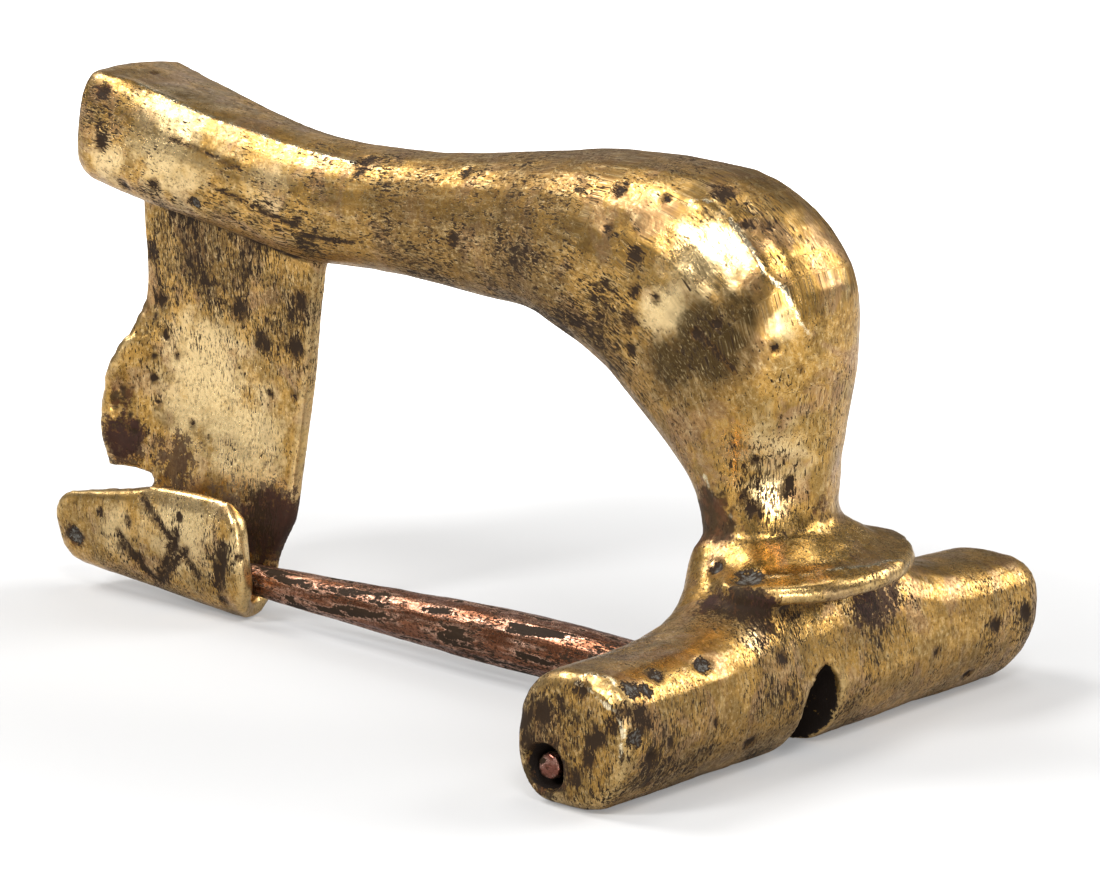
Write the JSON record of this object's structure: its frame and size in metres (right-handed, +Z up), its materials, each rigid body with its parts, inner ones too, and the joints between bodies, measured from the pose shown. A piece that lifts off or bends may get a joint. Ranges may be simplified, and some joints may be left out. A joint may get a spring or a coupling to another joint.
{
  "type": "knee brooch",
  "caption": "Knee-bowed cast bronze brooch with a half-round collar, a crossbar that holds a hinged pin, and a rolled catch.",
  "frame": {"origin": "middle of the brooch's footprint, on the surface that its crossbar and catch stand on", "axes": "+X from the foot towards the crossbar, +Z up through the bow, -Y is the side that the catch opens to"},
  "size_m": [0.048, 0.029, 0.0256],
  "materials": {
    "bronze": "worn golden bronze with dark casting pits and brown grime",
    "pin_copper": "coppery pin with black streaks along it",
    "rod_copper": "dull copper, dark in its hole"
  },
  "bodies": {
    "brooch": {"bow_casting": "bronze", "hinge_rod": "rod_copper"},
    "pin": {"pin": "pin_copper"}
  },
  "joints": [
    {"name": "pin_hinge", "type": "hinge", "parent": "brooch", "child": "pin", "pos_m": [0.0181, -0.0017, 0.00155], "axis": [0, 1, 0], "range_deg": [0, 22]}
  ]
}
